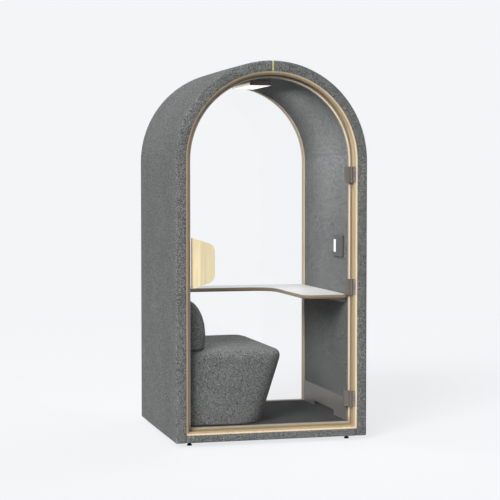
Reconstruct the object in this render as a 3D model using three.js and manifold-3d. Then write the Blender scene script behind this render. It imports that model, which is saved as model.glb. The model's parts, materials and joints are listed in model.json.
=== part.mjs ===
// Acoustic office pod: an upholstered arch on a timber floor, glazed front and back,
// with a hinged glass door, a fixed seat, an L-shaped desk, a ceiling lamp and a fan.
// Millimetres, +Z up. The door faces -Y. While building, Y runs back from the front face
// and Z up from the ground; the last lines set the origin under the middle of the pod.

import * as THREE from 'three';
import { mergeVertices } from 'three/addons/utils/BufferGeometryUtils.js';
import Module from 'manifold-3d';

const wasm = await Module();
wasm.setup();

// Driving dimensions: the whole pod
const podWidth = 1151;
const podDepth = 1055;
const archCentreHeight = 1647;
const footHeight = 27;
const fitGap = 0.3;

// Driving dimensions: how finely curves are stepped
const archFacets = 48;
const roundFacets = 12;
const cornerSteps = 4;
const edgeSteps = 4;
const wideCurveSteps = 7;

// Driving dimensions: shell
const wallThickness = 61.5;
const upholsteryThickness = 15;
const upholsteryEdgeRadius = 13;
const upholsteryHemChamfer = 2.5;
const liningThickness = 30;
const crownStripWidth = 5;
const crownStripRecess = 0.5;

// Driving dimensions: plywood rings, floor and base
const plinthHeight = 43.6;
const frameWidth = 18;
const stopWidth = 18;
const frontFrameDepth = 56;
const frontBevelDepth = 12.5;
const frontBevelLip = 1.2;
const frontStopDepth = 18;
const backStopDepth = 48;
const backFrameDepth = 40;
const backGlassThickness = 8;
const backGlassGrip = 9;
const gasketThickness = 3;
const gasketWidth = 12;
const carpetThickness = 6.6;
const plinthEdge = 3;
const footInsetX = 97;
const footInsetY = 86;
const footRadius = 15;
const footRimHeight = 4;
const footConeTop = 15;
const footNeckRadius = 8;
const footStemRadius = 5;
const footStemLength = 25;
const boreClearance = 0.4;

// Driving dimensions: door, seal and pulls
const doorGlassThickness = 10;
const doorGap = 6;
const sealThickness = 3.2;
const sealClearance = 0.8;
const sealOverlap = 3;
const pullEdgeInset = 19;
const pullHeight = 290;
const pullFarHeight = 206;
const pullWidth = 133;
const pullFlatWidth = 41;
const pullThickness = 32;
const pullFarThickness = 12;
const pullMiddleHeight = 1058;
const pullFarCorner = 45;
const pullNearCorner = 5;
const pullGrooveRadius = 8;
const pullGrooveDepth = 17;
const pullGrooveOffset = 17;
const boltRadius = 4;
const boltReach = 8;
const boltInset = 45;
const boltSpacing = 110;

// Driving dimensions: door hinges
const hingeLowerRise = 157.4;
const hingeUpperDrop = 79;
const hingeHeight = 92;
const hingeBarrelRadius = 6;
const hingePinRadius = 3;
const hingePinHead = 2;
const hingeKnuckleGap = 0.5;
const hingeSetback = 20;
const leafThickness = 4.7;
const leafFlangeWidth = 13;
const leafFlangeThickness = 2.7;
const leafGlassGap = 2;
const clampThickness = 7.7;
const clampReach = 36.5;
const clampOverrun = 3.5;
const clampArmWidth = 8;
const clampBackThickness = 5.7;
const clampStopGap = 2.5;
const clampStudRadius = 5;
const clampStudSpacing = 48;
const webThickness = 4;

// Driving dimensions: desk
const deskTopHeight = 858;
const deskCoreThickness = 22;
const deskChamfer = 9;
const laminateThickness = 1.6;
const deskWidth = 267;
const deskFrontGap = 9.5;
const deskBackGap = 3;
const deskShelfDepth = 205;
const deskCushionGap = 7.4;
const deskNoseRadius = 60;
const deskSweepRadius = 150;
const deskEndRadius = 30;
const deskWallCorner = 3;
const deskSideGap = 0.6;
const deskRailWidth = 30;
const deskRailThickness = 4;
const deskRailInset = 30;

// Driving dimensions: seat and back cushion
const seatRimHeight = 541;
const seatCrown = 8;
const seatHemGap = 1;
const seatHemRadius = 3;
const seatRimRadius = 55;
const seatWallGap = 0.6;
const seatFootFront = { left: 90, right: 78 };
const seatTopFront = { left: 91, right: 80 };
const seatFootBack = { left: 60, right: 100 };
const seatTopBack = { left: 57, right: 57 };
const seatFootReach = 469;
const seatTopReach = 583;
const seatFootCorner = { front: 199, back: 119 };
const seatTopCorner = { front: 92, back: 98 };
const seatWallCorner = { front: 14, back: 85 };
const seatPoleReach = 100;
const seatTopShares = [0.8, 0.55, 0.3];
const seatFrameInset = 14;
const seatFrameReach = 413;
const seatFrameFront = 172;
const seatFrameHeight = 320;
const seatFramePanel = 18;
const cushionEndGap = 25;
const cushionBelly = 124;
const cushionFoot = 117;
const cushionBellyRise = 83;
const cushionHeight = 289;
const cushionRoundness = 1.95;
const cushionEndDraw = 0.5;
const cushionEndRound = 0.85;
const cushionWallRound = 0.1;
const cushionLevels = [0, 0.14, 0.286, 0.5, 0.68, 0.82, 0.92, 0.975, 0.995];
const cushionSeatGap = 1;

// Driving dimensions: kick plate and what it covers
const kickHeight = 134;
const kickProud = 12;
const kickSheet = 2.5;
const kickEndGap = 4;
const kickBackGap = 30;
const kickSlotForward = 20;
const kickSlotLength = 395;
const kickSlotHeight = 32;
const supplyLength = 180;
const supplyHeight = 50;
const supplyDepth = 34;
const supplyRise = 45;
const supplyRoom = 12;

// Driving dimensions: wall plate, rocker and socket insert
const plateWidth = 185;
const plateHeight = 125;
const plateThickness = 7;
const plateMiddleDepth = 254;
const plateMiddleHeight = 1139;
const plateCorner = 14;
const plateInsert = { width: 40, height: 78 };
const rockerOffset = 56;
const socketOffset = 53;
const rockerWidth = 36;
const rockerHeight = 76;
const rockerProud = 1.5;
const rockerThickness = 7;
const rockerSideGap = 0.6;
const rockerEndGap = 1;
const rockerPivotRadius = 2;
const rockerPivotLength = 1.5;
const switchDepth = 18;
const switchGap = 5;
const switchRoom = 3;
const socketHoleRadius = 2.4;
const socketHoleSpacing = 19;
const socketRowSpacing = 39;
const socketHoleDepth = 9;
const socketDepth = 14;

// Driving dimensions: ceiling unit, fan and roof outlet
const ceilingDrop = 36;
const ceilingWidth = 132;
const ceilingLength = 440;
const ceilingForward = 47.5;
const ceilingCorner = 16;
const lampTrayHeight = 16;
const lampNeckHeight = 4;
const lampNeckInset = 8;
const lampTopHeight = 9;
const lampPadWidth = 40;
const lampPadLength = 30;
const lampPadInset = 40;
const lampCapLength = 18;
const diffuserThickness = 3.5;
const ledBoardThickness = 2;
const ledBoardWidth = 60;
const fanSize = 119;
const fanHeight = 25;
const fanRise = 3;
const fanBoreRadius = 56;
const fanHubRadius = 20;
const fanHubFloor = 5;
const fanStrutWidth = 8;
const fanBladeCount = 7;
const fanBladeChord = 26;
const fanBladeThickness = 2.4;
const fanBladeRoot = 2;
const fanBladePitch = THREE.MathUtils.degToRad(38);
const fanTipGap = 3;
const fanRotorGap = 1;
const fanRotorHeight = 17;
const fanShaftRadius = 3;
const fanShaftLength = 4;
const grilleSize = 131;
const grilleThickness = 6;
const grilleBars = 7;
const grilleBarWidth = 7;
const grilleBorder = 8;

// Driving dimensions: mains inlet
const inletWidth = 50;
const inletHeight = 30;
const inletDepth = 24;
const inletEdgeInset = 134;
const inletWall = 5;
const inletPocket = 15;
const inletPinWidth = 2;
const inletPinHeight = 6;
const inletPinLength = 10;
const inletPinSpacing = 9;

// Places that follow from the driving dimensions
const outerHalf = podWidth / 2;
const openingHalf = outerHalf - wallThickness;
const ringOuterHalf = openingHalf - fitGap;
const frameInnerHalf = openingHalf - frameWidth;
const stopInnerHalf = frameInnerHalf - stopWidth;
const liningInnerHalf = openingHalf - liningThickness;
const coreOuterHalf = outerHalf - upholsteryThickness - fitGap;
const frameBottom = footHeight + plinthHeight;
const frameInnerBottom = frameBottom + frameWidth;
const carpetTop = frameInnerBottom + stopWidth;
const floorTop = carpetTop - carpetThickness - fitGap;
const frontStopFront = frontFrameDepth + fitGap;
const frontStopBack = frontStopFront + frontStopDepth;
const cabinFront = frontStopBack + fitGap;
const backFrameFront = podDepth - backFrameDepth;
const backGlassFront = backFrameFront - fitGap - backGlassThickness;
const gasketFront = backGlassFront - fitGap - gasketThickness;
const backStopBack = gasketFront - fitGap;
const backStopFront = backStopBack - backStopDepth;
const cabinBack = backStopFront - fitGap;
const podMiddle = podDepth / 2;
const liningFace = liningInnerHalf - fitGap;
const crown = (radius) => archCentreHeight + radius;
const cutReach = 2 * crown(outerHalf);
const ceilingUnderside = crown(liningInnerHalf) - ceilingDrop;
const ceilingMiddle = podMiddle - ceilingForward;
const seatWall = -liningInnerHalf + seatWallGap;
const kickSlotMiddle = podMiddle - kickSlotForward;
const hingeLower = frameInnerBottom + hingeLowerRise;
const hingeUpper = archCentreHeight - hingeUpperDrop;
const hingeHeights = [hingeLower, (hingeLower + hingeUpper) / 2, hingeUpper];

// Finishes, with the colours seen in the photograph
const finish = (color, roughness, metalness = 0) => ({ color, roughness, metalness });
const shellFabric = finish(0x727573, 0.95);
const liningFelt = finish(0x6b6e6f, 0.95);
const boardCore = finish(0xb89b74, 0.85);
const birch = finish(0xe9cfa6, 0.55);
const seatFabric = finish(0x64676a, 0.95);
const carpetPile = finish(0x45474a, 1);
const clearGlass = finish(0xdfe9e6, 0.05);
const taupeMetal = finish(0x6f6b65, 0.5, 0.4);
const darkMetal = finish(0x2f3031, 0.5, 0.6);
const steel = finish(0xa9abad, 0.35, 0.9);
const blackRubber = finish(0x1b1b1c, 0.8);
const paleSilicone = finish(0xcdb492, 0.6);
const blackPlastic = finish(0x202122, 0.6);
const greyPlastic = finish(0x4b4d4f, 0.5);
const whitePlastic = finish(0xf1f1ee, 0.4);
const whiteLaminate = finish(0xe9e9e7, 0.35);
const opalAcrylic = finish(0xffffff, 0.4);
const seamGreen = finish(0xadaf8c, 0.8);
const circuitBoard = finish(0xf3f4f0, 0.6);

// Closed meshes to solids and back
const weldDistance = 1e-4;

function toSolid(geometry) {
  geometry.deleteAttribute('normal');
  geometry.deleteAttribute('uv');
  const welded = mergeVertices(geometry, weldDistance);
  const corners = welded.index.array;
  const kept = [];
  for (let i = 0; i < corners.length; i += 3) {
    const [a, b, c] = corners.slice(i, i + 3);
    if (a !== b && b !== c && c !== a) {
      kept.push(a, b, c);
    }
  }
  const mesh = new wasm.Mesh({
    numProp: 3,
    vertProperties: Float32Array.from(welded.attributes.position.array),
    triVerts: Uint32Array.from(kept),
  });
  return new wasm.Manifold(mesh);
}

function toGeometry(solid) {
  const mesh = solid.getMesh();
  const geometry = new THREE.BufferGeometry();
  geometry.setAttribute('position', new THREE.BufferAttribute(mesh.vertProperties, 3));
  geometry.setIndex(new THREE.BufferAttribute(mesh.triVerts, 1));
  geometry.computeVertexNormals();
  return geometry;
}

function piece(parent, name, solid, look) {
  const mesh = new THREE.Mesh(toGeometry(solid), new THREE.MeshStandardMaterial(look));
  mesh.name = name;
  parent.add(mesh);
  return mesh;
}

// Basic solids
function box([x0, x1], [y0, y1], [z0, z1]) {
  const geometry = new THREE.BoxGeometry(x1 - x0, y1 - y0, z1 - z0);
  geometry.translate((x0 + x1) / 2, (y0 + y1) / 2, (z0 + z1) / 2);
  return toSolid(geometry);
}

// A drawn shape pushed along an axis. Along X it is drawn in YZ, along Y in XZ, along Z in XY.
function prism(axis, shape, [from, to], curveSegments = cornerSteps) {
  const options = { depth: to - from, bevelEnabled: false, curveSegments };
  const geometry = new THREE.ExtrudeGeometry(shape, options);
  if (axis === 'y') {
    geometry.translate(0, 0, -to);
    geometry.rotateX(Math.PI / 2);
  } else {
    geometry.translate(0, 0, from);
  }
  if (axis === 'x') {
    const across = new THREE.Vector3(1, 0, 0);
    const back = new THREE.Vector3(0, 1, 0);
    const up = new THREE.Vector3(0, 0, 1);
    geometry.applyMatrix4(new THREE.Matrix4().makeBasis(back, up, across));
  }
  return toSolid(geometry);
}

function cylinder(axis, radius, [from, to], [u, v] = [0, 0], facets = roundFacets) {
  const circle = new THREE.Shape();
  circle.absarc(u, v, radius, 0, 2 * Math.PI);
  return prism(axis, circle, [from, to], facets / 2);
}

function turned(points, facets = roundFacets) {
  const profile = points.map(([radius, height]) => new THREE.Vector2(radius, height));
  const geometry = new THREE.LatheGeometry(profile, facets);
  geometry.rotateX(Math.PI / 2);
  return toSolid(geometry);
}

function polygon(points) {
  return new THREE.Shape(points.map(([u, v]) => new THREE.Vector2(u, v)));
}

// Corner points with a rounding at each corner
function roundedOutline(points, radii) {
  const corners = points.map(([u, v]) => new THREE.Vector2(u, v));
  const shape = new THREE.Shape();
  corners.forEach((corner, i) => {
    const before = corners.at(i - 1).clone().sub(corner).setLength(radii[i]).add(corner);
    const next = corners[(i + 1) % corners.length];
    const after = next.clone().sub(corner).setLength(radii[i]).add(corner);
    if (i === 0) {
      shape.moveTo(before.x, before.y);
    } else {
      shape.lineTo(before.x, before.y);
    }
    shape.quadraticCurveTo(corner.x, corner.y, after.x, after.y);
  });
  shape.closePath();
  return shape;
}

function roundedRect([u0, u1], [v0, v1], radius) {
  const points = [[u0, v0], [u1, v0], [u1, v1], [u0, v1]];
  return roundedOutline(points, points.map(() => radius));
}

// Rings of points, bottom to top, closed by a single point at each end
function loft(bottomPole, rings, topPole) {
  const count = rings[0].length;
  const levels = [rings[0].map(() => bottomPole), ...rings, rings[0].map(() => topPole)];
  const last = levels.length - 1;
  const profile = levels.map((_, j) => new THREE.Vector2(j % last === 0 ? 0 : 1, j));
  const geometry = new THREE.LatheGeometry(profile, count);
  const position = geometry.attributes.position;
  for (let i = 0; i <= count; i += 1) {
    levels.forEach((ring, j) => {
      const point = ring[i % count];
      position.setXYZ(i * levels.length + j, point.x, point.y, point.z);
    });
  }
  return toSolid(geometry);
}

// Arch forms: straight sides up to the arch centre, then half a circle
function archOutline(half, bottom, Kind = THREE.Shape) {
  const outline = new Kind();
  outline.moveTo(-half, bottom);
  outline.lineTo(half, bottom);
  outline.lineTo(half, archCentreHeight);
  outline.absarc(0, archCentreHeight, half, 0, Math.PI);
  outline.lineTo(-half, bottom);
  return outline;
}

function archPane(half, bottom, depths) {
  return prism('y', archOutline(half, bottom), depths, archFacets / 2);
}

function archRing(outer, inner, outerBottom, innerBottom, depths) {
  const shape = archOutline(outer, outerBottom);
  shape.holes.push(archOutline(inner, innerBottom, THREE.Path));
  return prism('y', shape, depths, archFacets / 2);
}

function archBand(outer, inner, bottom, depths) {
  const shape = new THREE.Shape();
  shape.moveTo(inner, bottom);
  shape.lineTo(outer, bottom);
  shape.lineTo(outer, archCentreHeight);
  shape.absarc(0, archCentreHeight, outer, 0, Math.PI);
  shape.lineTo(-outer, bottom);
  shape.lineTo(-inner, bottom);
  shape.lineTo(-inner, archCentreHeight);
  shape.absarc(0, archCentreHeight, inner, Math.PI, 0, true);
  shape.lineTo(inner, bottom);
  return prism('y', shape, depths, archFacets / 2);
}

// A section of radius and depth carried up one wall, round the arch and down the other
function archSweep(section, bottom) {
  const closed = [...section, section[0]].map(([radius, depth]) => new THREE.Vector2(radius, depth));
  const round = new THREE.LatheGeometry(closed, 2 * archFacets);
  round.translate(0, 0, archCentreHeight);
  const above = box([-cutReach, cutReach], [-cutReach, cutReach], [archCentreHeight, cutReach]);
  const rightWall = prism('z', polygon(section), [bottom, archCentreHeight]);
  const mirrored = section.map(([radius, depth]) => [-radius, depth]);
  const leftWall = prism('z', polygon(mirrored), [bottom, archCentreHeight]);
  return toSolid(round).intersect(above).add(rightWall).add(leftWall);
}

// The part of a solid to one side of the crown seam
function halfOf(solid, side, seamHalf) {
  const seam = side * seamHalf;
  const span = side > 0 ? [seam, cutReach] : [-cutReach, seam];
  return solid.intersect(box(span, [-cutReach, cutReach], [-cutReach, cutReach]));
}

const pod = new THREE.Group();
const group = (parent) => {
  const child = new THREE.Group();
  parent.add(child);
  return child;
};

// Fan duct through the crown, shared by the lining, the core and the upholstery
const ductHalf = fanSize / 2 + fitGap;
const duct = box(
  [-ductHalf, ductHalf],
  [ceilingMiddle - ductHalf, ceilingMiddle + ductHalf],
  [ceilingUnderside, crown(outerHalf)],
);
const grilleSeatHalf = grilleSize / 2 + fitGap;
const grilleSeat = box(
  [-grilleSeatHalf, grilleSeatHalf],
  [ceilingMiddle - grilleSeatHalf, ceilingMiddle + grilleSeatHalf],
  [crown(coreOuterHalf), crown(outerHalf)],
);

// Recesses in the right wall's lining, behind the wall plate and the kick plate
const insertMiddles = [plateMiddleDepth + rockerOffset, plateMiddleDepth - socketOffset];
const wallRecess = (depths, heights) => box([liningFace, openingHalf], depths, heights);
const insertRecess = (middle) => wallRecess(
  [middle - plateInsert.width / 2 - switchRoom, middle + plateInsert.width / 2 + switchRoom],
  [
    plateMiddleHeight - plateInsert.height / 2 - switchRoom,
    plateMiddleHeight + plateInsert.height / 2 + switchRoom,
  ],
);
const supplyBottom = carpetTop + supplyRise;
const supplyRecess = wallRecess(
  [kickSlotMiddle - supplyLength / 2 - supplyRoom, kickSlotMiddle + supplyLength / 2 + supplyRoom],
  [supplyBottom - supplyRoom, supplyBottom + supplyHeight + supplyRoom],
);

// Shell: upholstery, core and lining, each in a left and a right half
function makeShell() {
  const shell = group(pod);
  const edge = (depth, direction) => Array.from({ length: edgeSteps + 1 }, (_, i) => {
    const angle = (i / edgeSteps) * Math.PI / 2;
    const radius = outerHalf - upholsteryEdgeRadius * (1 - Math.sin(angle));
    return [radius, depth + direction * upholsteryEdgeRadius * (1 - Math.cos(angle))];
  });
  const channelHalf = outerHalf - upholsteryThickness;
  const section = [
    [openingHalf, upholsteryThickness],
    [openingHalf, upholsteryHemChamfer],
    [openingHalf + upholsteryHemChamfer, 0],
    ...edge(0, 1),
    ...edge(podDepth, -1).reverse(),
    [openingHalf + upholsteryHemChamfer, podDepth],
    [openingHalf, podDepth - upholsteryHemChamfer],
    [openingHalf, podDepth - upholsteryThickness],
    [channelHalf, podDepth - upholsteryThickness],
    [channelHalf, upholsteryThickness],
  ];
  const upholstery = archSweep(section, footHeight).subtract(grilleSeat);
  const coreDepths = [upholsteryThickness + fitGap, podDepth - upholsteryThickness - fitGap];
  const core = archBand(coreOuterHalf, openingHalf, footHeight, coreDepths).subtract(duct);
  const lining = archBand(ringOuterHalf, liningInnerHalf, floorTop + fitGap, [cabinFront, cabinBack])
    .subtract(duct);
  const rightLining = insertMiddles.reduce(
    (solid, middle) => solid.subtract(insertRecess(middle)),
    lining.subtract(supplyRecess),
  );
  const stripSeam = crownStripWidth / 2 + fitGap;
  const buttSeam = fitGap / 2;
  piece(shell, 'upholstery_left', halfOf(upholstery, -1, stripSeam), shellFabric);
  piece(shell, 'upholstery_right', halfOf(upholstery, 1, stripSeam), shellFabric);
  piece(shell, 'wall_core_left', halfOf(core, -1, stripSeam), boardCore);
  piece(shell, 'wall_core_right', halfOf(core, 1, stripSeam), boardCore);
  piece(shell, 'lining_left', halfOf(lining, -1, buttSeam), liningFelt);
  piece(shell, 'lining_right', halfOf(rightLining, 1, buttSeam), liningFelt);

  const stripSpan = [-crownStripWidth / 2, crownStripWidth / 2];
  const stripTop = crown(outerHalf) - crownStripRecess;
  const stripBottom = crown(openingHalf);
  const strip = (near, far, radii) => {
    const corners = [[near, stripBottom], [far, stripBottom], [far, stripTop], [near, stripTop]];
    return prism('x', roundedOutline(corners, radii), stripSpan);
  };
  const square = crownStripRecess;
  const round = upholsteryEdgeRadius;
  const frontStrip = strip(crownStripRecess, ceilingMiddle - grilleSeatHalf, [square, square, square, round]);
  const rearEnd = podDepth - crownStripRecess;
  const rearStrip = strip(ceilingMiddle + grilleSeatHalf, rearEnd, [square, square, round, square]);
  piece(shell, 'crown_strip_front', frontStrip, seamGreen);
  piece(shell, 'crown_strip_rear', rearStrip, seamGreen);
}

// Plywood rings, glazing and gasket
function makeFrames() {
  const frames = group(pod);
  const ring = (inner, innerBottom, depths) => (
    archRing(ringOuterHalf, inner, frameBottom, innerBottom, depths)
  );
  const bevelled = archSweep([
    [frameInnerHalf, frontFrameDepth],
    [frameInnerHalf, frontBevelDepth],
    [ringOuterHalf - frontBevelLip, 0],
    [ringOuterHalf, 0],
    [ringOuterHalf, frontFrameDepth],
  ], frameBottom);
  const sill = prism('x', polygon([
    [frontFrameDepth, frameInnerBottom],
    [frontBevelDepth, frameInnerBottom],
    [0, frameBottom + frontBevelLip],
    [0, frameBottom],
    [frontFrameDepth, frameBottom],
  ]), [-ringOuterHalf, ringOuterHalf]);
  const frontStop = ring(stopInnerHalf, carpetTop, [frontStopFront, frontStopBack]);
  const backStop = ring(stopInnerHalf, carpetTop, [backStopFront, backStopBack]);
  piece(frames, 'front_frame', bevelled.add(sill), birch);
  piece(frames, 'front_stop', frontStop, birch);
  piece(frames, 'back_stop', backStop, birch);
  piece(frames, 'back_frame', ring(frameInnerHalf, frameInnerBottom, [backFrameFront, podDepth]), birch);

  const paneHalf = frameInnerHalf + backGlassGrip;
  const paneBottom = frameInnerBottom - backGlassGrip;
  const pane = archPane(paneHalf, paneBottom, [backGlassFront, backGlassFront + backGlassThickness]);
  const gasketInner = paneHalf - gasketWidth;
  const gasketDepths = [gasketFront, gasketFront + gasketThickness];
  const gasket = archRing(paneHalf, gasketInner, paneBottom, paneBottom + gasketWidth, gasketDepths);
  piece(frames, 'back_glass', pane, clearGlass);
  piece(frames, 'back_gasket', gasket, paleSilicone);
}

// Base, plinths, floor, carpet and levelling feet
function makeBase() {
  const base = group(pod);
  const across = [-ringOuterHalf, ringOuterHalf];
  const plinthHeights = [footHeight, frameBottom - fitGap];
  const footX = outerHalf - footInsetX;
  const footPlaces = [
    ['foot_front_left', -footX, footInsetY],
    ['foot_front_right', footX, footInsetY],
    ['foot_rear_left', -footX, podDepth - footInsetY],
    ['foot_rear_right', footX, podDepth - footInsetY],
  ];
  const boreRadius = footStemRadius + boreClearance;
  const boreTop = footHeight + footStemLength + fitGap;
  const rearBack = podDepth - inletDepth - fitGap;
  const rearFront = rearBack - upholsteryThickness;
  const innerDepths = [upholsteryThickness + fitGap, rearFront - fitGap];

  const panel = footPlaces.reduce(
    (solid, [, x, y]) => solid.subtract(cylinder('z', boreRadius, [0, boreTop], [x, y])),
    box(across, innerDepths, plinthHeights),
  );
  piece(base, 'base_panel', panel, boardCore);

  const plinth = (front, back) => (
    prism('x', roundedRect([front, back], plinthHeights, plinthEdge), across)
  );
  piece(base, 'plinth_front', plinth(0, upholsteryThickness), shellFabric);
  piece(base, 'plinth_rear', plinth(rearFront, rearBack), shellFabric);

  piece(base, 'floor_panel', box(across, [cabinFront, cabinBack], [frameBottom, floorTop]), birch);
  const carpetHeights = [floorTop + fitGap, carpetTop];
  piece(base, 'carpet', box([-liningFace, liningFace], [cabinFront, cabinBack], carpetHeights), carpetPile);

  const footProfile = [
    [0, 0],
    [footRadius, 0],
    [footRadius, footRimHeight],
    [footNeckRadius, footConeTop],
    [footNeckRadius, footHeight - fitGap],
    [footStemRadius, footHeight - fitGap],
    [footStemRadius, footHeight + footStemLength],
    [0, footHeight + footStemLength],
  ];
  footPlaces.forEach(([name, x, y]) => {
    piece(base, name, turned(footProfile), blackRubber).position.set(x, y, 0);
  });

  const inletX = openingHalf - inletEdgeInset;
  const inletMiddle = footHeight + plinthHeight / 2;
  const bodySpan = [inletX - inletWidth / 2, inletX + inletWidth / 2];
  const bodyHeights = [inletMiddle - inletHeight / 2, inletMiddle + inletHeight / 2];
  const pocket = box(
    [bodySpan[0] + inletWall, bodySpan[1] - inletWall],
    [podDepth - inletPocket, podDepth],
    [bodyHeights[0] + inletWall, bodyHeights[1] - inletWall],
  );
  const pin = (offset) => box(
    [inletX + offset - inletPinWidth / 2, inletX + offset + inletPinWidth / 2],
    [podDepth - inletPocket - inletWall, podDepth - inletPocket + inletPinLength],
    [inletMiddle - inletPinHeight / 2, inletMiddle + inletPinHeight / 2],
  );
  const socket = [-inletPinSpacing, 0, inletPinSpacing].reduce(
    (solid, offset) => solid.add(pin(offset)),
    box(bodySpan, [podDepth - inletDepth, podDepth], bodyHeights).subtract(pocket),
  );
  piece(base, 'mains_inlet', socket, blackPlastic);
}

// Door: glass, seal, pulls and hinges
const doorHalf = frameInnerHalf - doorGap;
const sealFront = frontStopFront - fitGap - sealThickness;
const doorBack = sealFront - sealClearance;
const doorFront = doorBack - doorGlassThickness;
const hingeAxisX = frameInnerHalf - fitGap - leafThickness - hingeKnuckleGap - hingeBarrelRadius;
const studX = hingeAxisX - clampReach / 2 - hingeBarrelRadius;
const pullNear = -doorHalf + pullEdgeInset;
const boltX = pullNear + boltInset;
const boltHeights = [pullMiddleHeight - boltSpacing / 2, pullMiddleHeight + boltSpacing / 2];

function makeDoor() {
  const door = group(pod);
  const doorBottom = frameInnerBottom + doorGap;
  const through = [doorFront - fitGap, doorBack + fitGap];
  const studHoles = hingeHeights.flatMap((height) => [-1, 1].map((side) => cylinder(
    'y',
    clampStudRadius + boreClearance,
    through,
    [studX, height + side * clampStudSpacing / 2],
  )));
  const boltHoles = boltHeights.map((height) => (
    cylinder('y', boltRadius + boreClearance, through, [boltX, height])
  ));
  const glass = [...studHoles, ...boltHoles].reduce(
    (solid, hole) => solid.subtract(hole),
    archPane(doorHalf, doorBottom, [doorFront, doorBack]),
  );
  piece(door, 'door_glass', glass, clearGlass);

  const sealOuter = frameInnerHalf - fitGap;
  const sealInner = doorHalf - sealOverlap;
  const sealDepths = [sealFront, sealFront + sealThickness];
  const seal = archRing(
    sealOuter,
    sealInner,
    frameInnerBottom + fitGap,
    doorBottom + sealOverlap,
    sealDepths,
  );
  piece(door, 'door_seal', seal, paleSilicone);

  const nearHalf = pullHeight / 2;
  const farHalf = pullFarHeight / 2;
  const pullFar = pullNear + pullWidth;
  const face = roundedOutline(
    [
      [pullNear, pullMiddleHeight - nearHalf],
      [pullFar, pullMiddleHeight - farHalf],
      [pullFar, pullMiddleHeight + farHalf],
      [pullNear, pullMiddleHeight + nearHalf],
    ],
    [pullNearCorner, pullFarCorner, pullFarCorner, pullNearCorner],
  );
  const heights = [pullMiddleHeight - nearHalf, pullMiddleHeight + nearHalf];
  const pull = (glassFace, outward, gripEdge, thinEdge) => {
    const at = (distance) => glassFace + outward * distance;
    const inward = Math.sign(thinEdge - gripEdge);
    const section = polygon([
      [gripEdge, at(0)],
      [thinEdge, at(0)],
      [thinEdge, at(pullFarThickness)],
      [gripEdge + inward * pullFlatWidth, at(pullThickness)],
      [gripEdge, at(pullThickness)],
    ]);
    const grooveMiddle = at(pullGrooveOffset);
    const grooveEnd = gripEdge + inward * (pullGrooveDepth - pullGrooveRadius);
    const groove = box(
      [gripEdge - inward * fitGap, grooveEnd].sort((a, b) => a - b),
      [grooveMiddle - pullGrooveRadius, grooveMiddle + pullGrooveRadius],
      heights,
    ).add(cylinder('z', pullGrooveRadius, heights, [grooveEnd, grooveMiddle]));
    const span = [at(0), at(pullThickness)].sort((a, b) => a - b);
    const blank = prism('z', section, heights).intersect(prism('y', face, span, wideCurveSteps));
    const boreDepths = [at(-fitGap), at(boltReach + fitGap)].sort((a, b) => a - b);
    return boltHeights.reduce(
      (solid, height) => solid.subtract(
        cylinder('y', boltRadius + boreClearance, boreDepths, [boltX, height]),
      ),
      blank.subtract(groove),
    );
  };
  piece(door, 'pull_outer', pull(doorFront - fitGap, -1, pullNear, pullFar), birch);
  piece(door, 'pull_inner', pull(doorBack + fitGap, 1, pullFar, pullNear), birch);
  const boltDepths = [doorFront - boltReach, doorBack + boltReach];
  boltHeights.forEach((height, i) => {
    const bolt = cylinder('y', boltRadius, boltDepths, [boltX, height]);
    piece(door, ['pull_bolt_lower', 'pull_bolt_upper'][i], bolt, steel);
  });
}

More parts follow.
